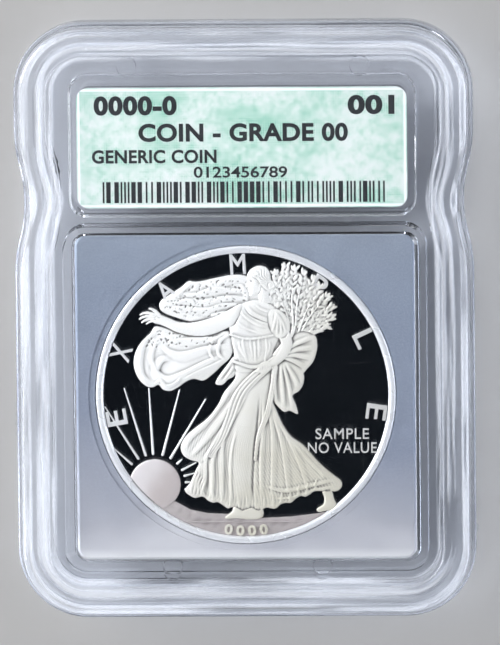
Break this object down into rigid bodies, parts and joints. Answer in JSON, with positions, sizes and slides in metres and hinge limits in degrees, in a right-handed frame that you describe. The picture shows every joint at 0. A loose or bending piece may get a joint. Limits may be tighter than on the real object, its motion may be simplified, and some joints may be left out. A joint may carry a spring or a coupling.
{
  "type": "graded coin slab",
  "caption": "Sealed clear coin holder: welded shells with a stacking rim and finger notches, holding a loose 40.6 mm coin in a grey insert and a grade label under its own window.",
  "frame": {"origin": "under the middle of the slab, on the rear rest plane of its plinth", "axes": "+Z out of the front face, +Y towards the label end, +X to the right seen from the front"},
  "size_m": [0.0624, 0.0808, 0.0084],
  "materials": {
    "clear_shell": "clear polished",
    "insert": "satin",
    "silver": "proof struck silver",
    "card": "printed",
    "foil": "diffraction foil"
  },
  "bodies": {
    "slab": {"front_shell": "clear_shell", "rear_shell": "clear_shell", "coin_insert": "insert", "label_card": "card", "foil_seal": "foil"},
    "coin": {"coin": "silver"}
  },
  "joints": [
    {"name": "coin_turn", "type": "hinge", "parent": "slab", "child": "coin", "pos_m": [0, -0.0102, 0.0042], "axis": [0, 0, 1], "continuous": true}
  ]
}
